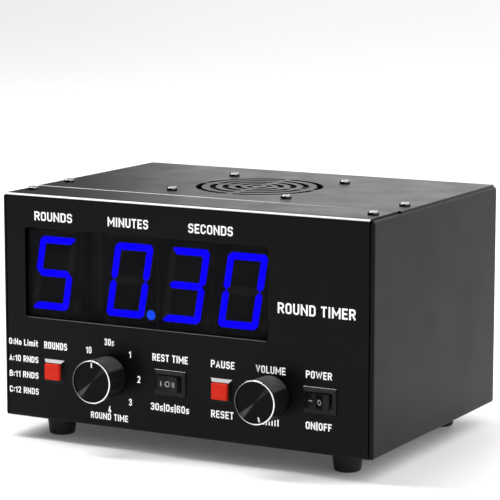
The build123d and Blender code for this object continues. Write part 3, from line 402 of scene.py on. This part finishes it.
# painted glint on the tops of the screw heads
screw_metal.paint_slope_highlights(0.52, 0.30)
use(screw_metal, "case_screws", "speaker_screws", "foot_screws", "hex_nuts", "board_screws")
use(rubber("foot_rubber"), "foot_front_left", "foot_front_right", "foot_rear_left", "foot_rear_right")

use(smoked_lens("smoked_lens"), "display_window")
digit_face = moulded("digit_body", (0.009, 0.009, 0.009), 0.6, specular=0.2)
# the digits' right-facing sides painted lighter: painted light on faces that lie in shade
digit_face.paint_highlight_toward((1.0, 0.0, 0.0), 0.90, 0.05)
use(digit_face, "digit_rounds", "digit_minutes", "digit_tens", "digit_units")
use(glowing("led_on", (0.0, 0.0, 0.02), (0.002, 0.0, 1.0), 2.1), "lit_segments")
use(glowing("led_point", (0.0, 0.01, 0.05), (0.010, 0.075, 1.0), 1.7), "decimal_point")
use(moulded("led_off", (0.022, 0.022, 0.021), 0.5, specular=0.2), "unlit_segments")

use(circuit_board("circuit_board"), "main_board")
use(moulded("display_board_mask", (0.040, 0.040, 0.040), 0.6), "display_board")
brass = Shader("post_brass", (0.72, 0.50, 0.22), 0.28, 1.0)
brass.vary_rough(0.8, 0.1)
brass.bump(brass.noise(0.15, 2.0), 0.004, 0.4)
use(brass, "display_posts", "main_board_posts")
use(moulded("chip_epoxy", (0.02, 0.02, 0.02), 0.55), "board_chips", "voltage_regulator")
sink = Shader("sink_aluminium", (0.60, 0.61, 0.63), 0.34, 1.0)
sink.vary_rough(1.0, 0.1, (1, 1, 12))
sink.bump(sink.noise(0.15, 2.0, (1, 1, 20)), 0.006, 0.5)
use(sink, "heat_sink")
use(moulded("capacitor_sleeve", (0.02, 0.03, 0.10), 0.28), "capacitors")
use(moulded("header_nylon", (0.80, 0.77, 0.68), 0.45), "board_headers")

use(powder_coat("basket_steel", (0.01, 0.01, 0.01), 0.4), "speaker_basket")
use(moulded("magnet_ferrite", (0.05, 0.05, 0.055), 0.55, 0.5, 0.3, 0.02), "speaker_magnet")
use(zinc("plate_steel"), "speaker_top_plate", "speaker_yoke")
copper = Shader("coil_copper", (0.75, 0.32, 0.14), 0.3, 1.0)
copper.bump(copper.wave("Z", 0.25), 0.08, 0.8)
use(copper, "voice_coil")
use(moulded("cone_paper", (0.02, 0.02, 0.02), 0.85, 0.5, 0.15, 0.05), "speaker_cone", "dust_cap")
use(cloth("surround_cloth", (0.02, 0.02, 0.02), 0.35), "cone_surround")
use(cloth("spider_cloth", (0.55, 0.40, 0.18), 0.5), "spider")

bushing = zinc("bushing_metal")
use(bushing, "time_dial_nut", "time_shaft", "volume_dial_nut", "volume_shaft", "jack_nut")
use(zinc("control_body"), "selector_switch", "volume_pot")
knob_black = moulded("knob_black", (0.006, 0.006, 0.006), 0.40, 0.12, 0.25, 0.003)
# painted highlight on the upper right of the knobs' sides
knob_black.paint_highlight_toward((0.42, 0.0, 0.91), 0.80, 0.055)
use(knob_black, "time_knob", "volume_knob")
use(knob_insert("time_insert_metal", "time_knob_insert"), "time_knob_insert")
use(knob_insert("volume_insert_metal", "volume_knob_insert"), "volume_knob_insert")
use(moulded("mark_white", (0.88, 0.88, 0.88), 0.4), "time_knob_pointer", "volume_knob_pointer")
use(moulded("switch_black", SWITCH_BLACK, 0.24, 0.3, 0.14), "rest_rocker", "power_rocker", "power_jack")
rocker_bezel = moulded("rocker_bezel", SWITCH_BLACK, 0.30, 0.12, 0.16)
# painted highlight on the rocker bezels' top faces
rocker_bezel.paint_slope_highlights(0.95, 0.03)
use(rocker_bezel, "rest_switch", "power_switch")
button_bezel = moulded("button_bezel", SWITCH_BLACK, 0.24, 0.3, 0.16)
# painted highlights on the button bezels' top faces and forward-up chamfers
button_bezel.paint_slope_highlights(0.30, 0.62)
use(button_bezel, "button_switches")
red = Shader("button_red", (0.72, 0.024, 0.008), 0.30, Specular_IOR_Level=0.10)
red.vary_color(3.0, 0.08)
red.bump(red.noise(0.3, 2.0), 0.004, 0.3)
use(red, "rounds_button", "pause_button")

ink = moulded("screen_ink_painted_glow", (0.94, 0.94, 0.93), 0.55, 0.15, 0.3, 0.003)
# the white print glows faintly: painted light
ink.set(Emission_Color=(1, 1, 1, 1), Emission_Strength=0.22)
rocker_ink = moulded("rocker_ink", (0.36, 0.36, 0.35), 0.5, 0.15, 0.3, 0.003)


# ---- printed lettering --------------------------------------------------------------------------
# Each glyph: width in cap heights, then strokes of corner points in a unit box, as (points, closed)
# or (points, closed, how thick the stroke is beside the others).
ROUND = 0.22
STROKE = 0.175
LETTER_GAP = 0.115
BAR_REACH = 0.15
INK_THICK = 0.03 * MM
INK_OUT = 0.02 * MM
ROCKER_INK_OUT = 0.025 * MM
BOX = ((0, 0), (0, 1), (1, 1), (1, 0))
GLYPHS = {
    "0": (0.50, [(BOX, True)]),
    "1": (0.34, [(((0, 0.78), (1, 1), (1, 0)), False)]),
    "2": (0.48, [(((0, 0.86), (0, 1), (1, 1), (1, 0.56), (0, 0), (1, 0)), False)]),
    "3": (0.48, [(((0, 0.88), (0, 1), (1, 1), (1, 0.53), (0.5, 0.53)), False),
                 (((0.5, 0.53), (1, 0.53), (1, 0), (0, 0), (0, 0.12)), False)]),
    "4": (0.50, [(((0.55, 1), (0, 0.26), (1, 0.26)), False), (((0.70, 0.50), (0.70, 0)), False)]),
    "5": (0.48, [(((1, 1), (0, 1), (0, 0.56), (1, 0.56), (1, 0), (0, 0), (0, 0.12)), False)]),
    "6": (0.50, [(((1, 0.88), (1, 1), (0, 1), (0, 0), (1, 0), (1, 0.56), (0, 0.56)), False)]),
    "A": (0.54, [(((0, 0), (0.5, 1), (1, 0)), False), (((0.22, 0.26), (0.78, 0.26)), False)]),
    "B": (0.51, [(((0, 0), (0, 1), (0.93, 1), (0.93, 0.53), (0, 0.53)), False),
                 (((0, 0.53), (1, 0.53), (1, 0), (0, 0)), False)]),
    "C": (0.49, [(((1, 0.80), (1, 1), (0, 1), (0, 0), (1, 0), (1, 0.20)), False)]),
    "D": (0.51, [(((0, 1), (1, 1), (1, 0), (0, 0)), False), (((0, 0), (0, 1)), False)]),
    "E": (0.44, [(((1, 1), (0, 1)), False), (((0, 0), (1, 0)), False), (((0, 0), (0, 1)), False),
                 (((0, 0.5), (0.85, 0.5)), False)]),
    "F": (0.43, [(((1, 1), (0, 1)), False), (((0, 0), (0, 1)), False), (((0, 0.5), (0.85, 0.5)), False)]),
    "I": (0.18, [(((0.5, 0), (0.5, 1)), False)]),
    "L": (0.42, [(((0, 0), (1, 0)), False), (((0, 0), (0, 1)), False)]),
    "M": (0.68, [(((0, 0), (0, 1)), False), (((0, 1), (0.5, 0.3), (1, 1)), False, 0.75),
                 (((1, 1), (1, 0)), False)]),
    "N": (0.56, [(((0, 0), (0, 1)), False), (((0, 1), (1, 0)), False, 0.8), (((1, 0), (1, 1)), False)]),
    "O": (0.50, [(BOX, True)]),
    "P": (0.49, [(((0, 0), (0, 1)), False), (((0, 1), (1, 1), (1, 0.46), (0, 0.46)), False)]),
    "R": (0.51, [(((0, 0), (0, 1)), False), (((0, 1), (1, 1), (1, 0.48), (0, 0.48)), False),
                 (((0.50, 0.48), (1, 0)), False)]),
    "S": (0.49, [(((1, 0.88), (1, 1), (0, 1), (0, 0.52), (1, 0.52), (1, 0), (0, 0), (0, 0.12)), False)]),
    "T": (0.46, [(((0, 1), (1, 1)), False), (((0.5, 1), (0.5, 0)), False)]),
    "U": (0.50, [(((0, 1), (0, 0), (1, 0), (1, 1)), False)]),
    "V": (0.54, [(((0, 1), (0.5, 0), (1, 1)), False)]),
    "W": (0.80, [(((0, 1), (0.24, 0), (0.5, 0.85), (0.76, 0), (1, 1)), False)]),
    "o": (0.44, [(((0, 0), (0, 0.66), (1, 0.66), (1, 0)), True)]),
    "i": (0.18, [(((0.5, 0), (0.5, 0.62)), False), (((0.5, 0.97), (0.5, 1)), False)]),
    "m": (0.68, [(((0, 0), (0, 0.66)), False), (((0, 0.66), (0.5, 0.66), (0.5, 0)), False),
                 (((0.5, 0.66), (1, 0.66), (1, 0)), False)]),
    "t": (0.34, [(((0.35, 0.95), (0.35, 0), (0.9, 0)), False), (((0, 0.66), (0.9, 0.66)), False)]),
    "s": (0.40, [(((1, 0.66), (0, 0.66), (0, 0.33), (1, 0.33), (1, 0), (0, 0)), False)]),
    ":": (0.18, [(((0.5, 0.14), (0.5, 0.17)), False), (((0.5, 0.62), (0.5, 0.65)), False)]),
    "|": (0.16, [(((0.5, -0.12), (0.5, 1.12)), False)]),
    " ": (0.20, []),
}


CORNER_STEPS = 6
SHARPEST = 1.3
FLATTEST = 3.0


def rounded(points, closed, radius):
    """The path with each corner rounded as far as its sides allow; the sharpest ones stay."""
    count = len(points)
    path = []
    for index, corner in enumerate(points):
        if not closed and index in (0, count - 1):
            path.append(corner)
            continue
        before = points[index - 1] - corner
        after = points[(index + 1) % count] - corner
        reach = min(radius, before.length * 0.49, after.length * 0.49)
        if not SHARPEST <= before.angle(after) <= FLATTEST:
            path.append(corner)
            continue
        start = corner + before.normalized() * reach
        end = corner + after.normalized() * reach
        for step in range(CORNER_STEPS + 1):
            t = step / CORNER_STEPS
            path.append(start * (1 - t) ** 2 + corner * 2 * t * (1 - t) + end * t ** 2)
    return path


def ribbon(path, closed, width):
    """Quads of a stroke of even width along a path, mitred at the bends."""
    count = len(path)
    sides = []
    for index, point in enumerate(path):
        before = path[index - 1] if closed or index else None
        after = path[(index + 1) % count] if closed or index < count - 1 else None
        way_in = (point - before).normalized() if before is not None else None
        way_out = (after - point).normalized() if after is not None else None
        way_in = way_in or way_out
        way_out = way_out or way_in
        along = (way_in + way_out).normalized()
        across = Vector((-along.y, along.x))
        stretch = min(1.9, 1 / max(0.2, along.dot(way_in)))
        sides.append((point + across * width / 2 * stretch, point - across * width / 2 * stretch))
    quads = []
    for index in range(count if closed else count - 1):
        here, there = sides[index], sides[(index + 1) % count]
        quads.append((here[0], here[1], there[1], there[0]))
    return quads


def square_ended(path, reach):
    """The open path, each end carried on by reach."""
    first = path[0] + (path[0] - path[1]).normalized() * reach
    last = path[-1] + (path[-1] - path[-2]).normalized() * reach
    return [first] + path[1:-1] + [last]


def glyph_quads(glyph, left, cap, squeeze):
    """Quads of one glyph, left edge at left, base line at 0, in metres."""
    width, strokes = GLYPHS[glyph]
    pen = STROKE * cap
    span = width * cap * squeeze - pen
    quads = []
    for points, closed, *fine in strokes:
        corners = [Vector((left + pen / 2 + u * span, pen / 2 + v * (cap - pen))) for u, v in points]
        path = rounded(corners, closed, ROUND * cap)
        if not closed:
            path = square_ended(path, pen / 2)
        quads += ribbon(path, closed, pen * (fine[0] if fine else 1.0))
    low, high = (-BAR_REACH * cap, (1 + BAR_REACH) * cap) if glyph == "|" else (0, cap)
    return [tuple(Vector((p.x, min(high, max(low, p.y)))) for p in quad) for quad in quads]


def inside(point, quad):
    """Whether the point is in a convex quad given anticlockwise."""
    for here, there in zip(quad, quad[1:] + quad[:1]):
        if (there - here).cross(point - here) < -1e-9:
            return False
    return True


def flat_union(quads):
    """One clean flat mesh covering all the quads, as (points, faces)."""
    scaled = [tuple(corner / MM for corner in quad) for quad in quads]
    points = [corner for quad in scaled for corner in quad]
    faces = [list(range(4 * i, 4 * i + 4)) for i in range(len(scaled))]
    verts, _, tris, _, _, _ = delaunay_2d_cdt(points, [], faces, 0, 1e-5)
    kept = []
    for tri in tris:
        middle = (verts[tri[0]] + verts[tri[1]] + verts[tri[2]]) / 3
        if any(inside(middle, quad) for quad in scaled):
            kept.append(tri)
    return [vert * MM for vert in verts], kept


def printed(name, quads, place, body, colour=ink):
    """A thin layer of ink around a flat sheet: quads in (across, up), placed by place(across, up)."""
    verts, tris = flat_union(quads)
    mesh = bpy.data.meshes.new(name)
    mesh.from_pydata([place(v.x, v.y) for v in verts], [], tris)
    mesh.materials.append(colour.material)
    mesh.validate()
    piece = bpy.data.objects.new(name, mesh)
    bpy.context.scene.collection.objects.link(piece)
    solid = piece.modifiers.new("ink", "SOLIDIFY")
    solid.thickness = INK_THICK
    solid.offset = 0
    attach(piece, body)


def text_quads(text, cap, width=None):
    """Quads of a line of text, centred on 0 across, middle of the caps at 0 up."""
    natural = sum(GLYPHS[c][0] + LETTER_GAP for c in text) - LETTER_GAP
    squeeze = width / (natural * cap) if width else 1.0
    left = -natural * cap * squeeze / 2
    quads = []
    for glyph in text:
        for quad in glyph_quads(glyph, left, cap, squeeze):
            quads.append(tuple(Vector((p.x, p.y - cap / 2)) for p in quad))
        left += (GLYPHS[glyph][0] + LETTER_GAP) * cap * squeeze
    return quads


def on_panel(x_mm, z_mm):
    """Places flat artwork on the front panel, x_mm across and z_mm above the case's underside."""
    def place(across, up):
        return (x_mm * MM + across, FACE_Y - INK_OUT, UNDER_Z + z_mm * MM + up)
    return place


# text, centre across, height above the case's underside, width, cap height, all mm
LABELS = (
    ("label_rounds", "ROUNDS", -87.7, 124.0, 26.7, 5.5),
    ("label_minutes", "MINUTES", -35.6, 124.0, 27.7, 5.5),
    ("label_seconds", "SECONDS", 20.0, 124.0, 29.4, 5.5),
    ("label_title", "ROUND TIMER", 88.4, 82.5, 49.2, 6.3),
    ("label_rounds_button", "ROUNDS", -87.1, 45.9, 16.3, 4.4),
    ("label_rest", "REST TIME", -7.4, 45.9, 24.0, 4.4),
    ("label_pause", "PAUSE", 27.9, 45.9, 15.6, 4.4),
    ("label_volume", "VOLUME", 59.3, 45.9, 19.2, 4.4),
    ("label_power", "POWER", 90.2, 45.9, 16.5, 4.4),
    ("label_rest_times", "30s|0s|60s", -7.7, 16.3, 26.0, 4.4),
    ("label_reset", "RESET", 27.6, 16.3, 14.9, 4.4),
    ("label_on_off", "ON|OFF", 90.2, 16.3, 16.6, 4.4),
    ("label_no_limit", "0:No Limit", -110.3, 46.1, 21.0, 3.9),
    ("label_round_a", "A:10 RNDS", -110.3, 36.0, 21.0, 3.9),
    ("label_round_b", "B:11 RNDS", -110.3, 26.3, 21.0, 3.9),
    ("label_round_c", "C:12 RNDS", -110.3, 16.5, 21.0, 3.9),
    ("label_time", "ROUND TIME", -49.5, 6.6, 26.0, 4.0),
)
for name, text, x_mm, z_mm, width, cap in LABELS:
    printed(name, text_quads(text, cap * MM, width * MM), on_panel(x_mm, z_mm), "case")

# numbers around the time dial, clockwise from the top
DIAL_X, DIAL_Z = -49.2, 31.4
DIAL_RADIUS = 20.4
DIAL_STEP = 45
DIAL_CAP = 4.2
for place, text in enumerate(("30s", "1", "2", "3", "4", "5", "6", "10")):
    turn = radians(place * DIAL_STEP)
    across = DIAL_X + DIAL_RADIUS * sin(turn)
    up = DIAL_Z + DIAL_RADIUS * cos(turn)
    printed(f"dial_mark_{text}", text_quads(text, DIAL_CAP * MM), on_panel(across, up), "case")

# rising bars of the volume scale
BARS = 6
BAR_PITCH = 1.9
BAR_WIDE = 0.8
BAR_SHORTEST = 1.0
BAR_RISE = 0.62
bars = []
for index in range(BARS):
    left = index * BAR_PITCH * MM
    right = left + BAR_WIDE * MM
    tall = (BAR_SHORTEST + BAR_RISE * index) * MM
    bars.append(tuple(Vector(c) for c in ((left, 0), (right, 0), (right, tall), (left, tall))))
printed("volume_bars", bars, on_panel(54.2, 13.4), "case")


# ---- marks on the rockers -----------------------------------------------------------------------
ROCKER_VEE = 9.0
ROCKER_CENTRE = 3.5
RING_STEPS = 32


def on_rocker(body, tilt, across_mm):
    """Drapes artwork over a rocker's shallow vee, across_mm from its middle."""
    pivot = pivots[body]
    turn = Matrix.Rotation(radians(-tilt), 3, "Z")

    def place(across, up):
        u = across_mm * MM + across
        out = ROCKER_CENTRE * MM + abs(u) * tan(radians(ROCKER_VEE)) + ROCKER_INK_OUT
        return pivot + turn @ Vector((u, -out, up))
    return place


def ring_quads(radius_mm, pen_mm):
    """A ring of even width."""
    radius = radius_mm * MM
    turns = [2 * pi * step / RING_STEPS for step in range(RING_STEPS)]
    path = [Vector((radius * cos(turn), radius * sin(turn))) for turn in turns]
    return ribbon(path, True, pen_mm * MM)


def bar_quads(width_mm, height_mm):
    """An upright or lying bar."""
    side, end = width_mm * MM / 2, height_mm * MM / 2
    return [tuple(Vector(c) for c in ((-side, -end), (side, -end), (side, end), (-side, end)))]


# name, artwork, the rocker's body, its tilt at rest in degrees, place across in mm
ROCKER_MARKS = (
    ("rest_mark_left", bar_quads(0.7, 3.0), "rest_time_rocker", 0, -4.1),
    ("rest_mark_middle", ring_quads(1.45, 0.65), "rest_time_rocker", 0, 0),
    ("rest_mark_right_a", bar_quads(0.6, 3.0), "rest_time_rocker", 0, 3.7),
    ("rest_mark_right_b", bar_quads(0.6, 3.0), "rest_time_rocker", 0, 4.8),
    ("power_mark_on", bar_quads(2.4, 0.7), "power_on_rocker", 18, -3.6),
    ("power_mark_off", ring_quads(1.35, 0.6), "power_on_rocker", 18, 3.4),
)
for name, quads, body, tilt, across_mm in ROCKER_MARKS:
    printed(name, quads, on_rocker(body, tilt, across_mm), body, rocker_ink)


# ---- floor and light ----------------------------------------------------------------------------
CAMERA_RIGHT = (0.8775, 0.4795, 0.0)
FLOOR_HALF = 30.0

floor_white = Shader("floor_white", (0.92, 0.92, 0.92), 0.6, Specular_IOR_Level=0.2)
floor_white.vary_rough(300.0, 0.05)
floor_white.set(Emission_Color=(1, 1, 1, 1), Emission_Strength=0.06)
floor_mesh = bpy.data.meshes.new("floor")
corners = [(FLOOR_HALF * x, FLOOR_HALF * y, 0) for x, y in ((-1, -1), (1, -1), (1, 1), (-1, 1))]
floor_mesh.from_pydata(corners, [], [(0, 1, 2, 3)])
floor_mesh.materials.append(floor_white.material)
floor = bpy.data.objects.new("floor", floor_mesh)
bpy.context.scene.collection.objects.link(floor)


def studio_world(left, right, start, end):
    """Even studio walls of strength left and right, changing over start..end along camera right."""
    world = bpy.data.worlds.new("studio")
    bpy.context.scene.world = world
    world.use_nodes = True
    tree = world.node_tree
    across = tree.nodes.new("ShaderNodeVectorMath")
    across.operation = "DOT_PRODUCT"
    across.inputs[1].default_value = CAMERA_RIGHT
    ramp = tree.nodes.new("ShaderNodeMapRange")
    ramp.interpolation_type = "SMOOTHSTEP"
    ramp.inputs["From Min"].default_value = start
    ramp.inputs["From Max"].default_value = end
    ramp.inputs["To Min"].default_value = left
    ramp.inputs["To Max"].default_value = right
    coords = tree.nodes.new("ShaderNodeTexCoord")
    background = tree.nodes["Background"]
    background.inputs["Color"].default_value = (1, 1, 1, 1)
    tree.links.new(coords.outputs["Generated"], across.inputs[0])
    tree.links.new(across.outputs["Value"], ramp.inputs["Value"])
    tree.links.new(ramp.outputs["Result"], background.inputs["Strength"])


def softbox(name, direction, distance, size, radiance):
    """A studio light of even radiance, its second side front to back; the camera doesn't see it."""
    data = bpy.data.lights.new(name, "AREA")
    data.shape = "RECTANGLE"
    data.size, data.size_y = size
    data.energy = radiance * pi * size[0] * size[1]
    light = bpy.data.objects.new(name, data)
    middle = Vector((0, CASE_MIDDLE_Y, 0.1))
    toward = Vector(direction).normalized()
    light.location = middle + toward * distance
    light.rotation_euler = toward.to_track_quat("Z", "Y").to_euler()
    light.visible_camera = False
    bpy.context.scene.collection.objects.link(light)


studio_world(0.06, 1.64, -0.062, -0.022)
softbox("overhead_strip", (-0.48, -0.10, 0.80), 2.0, (0.45, 2.2), 14.0)
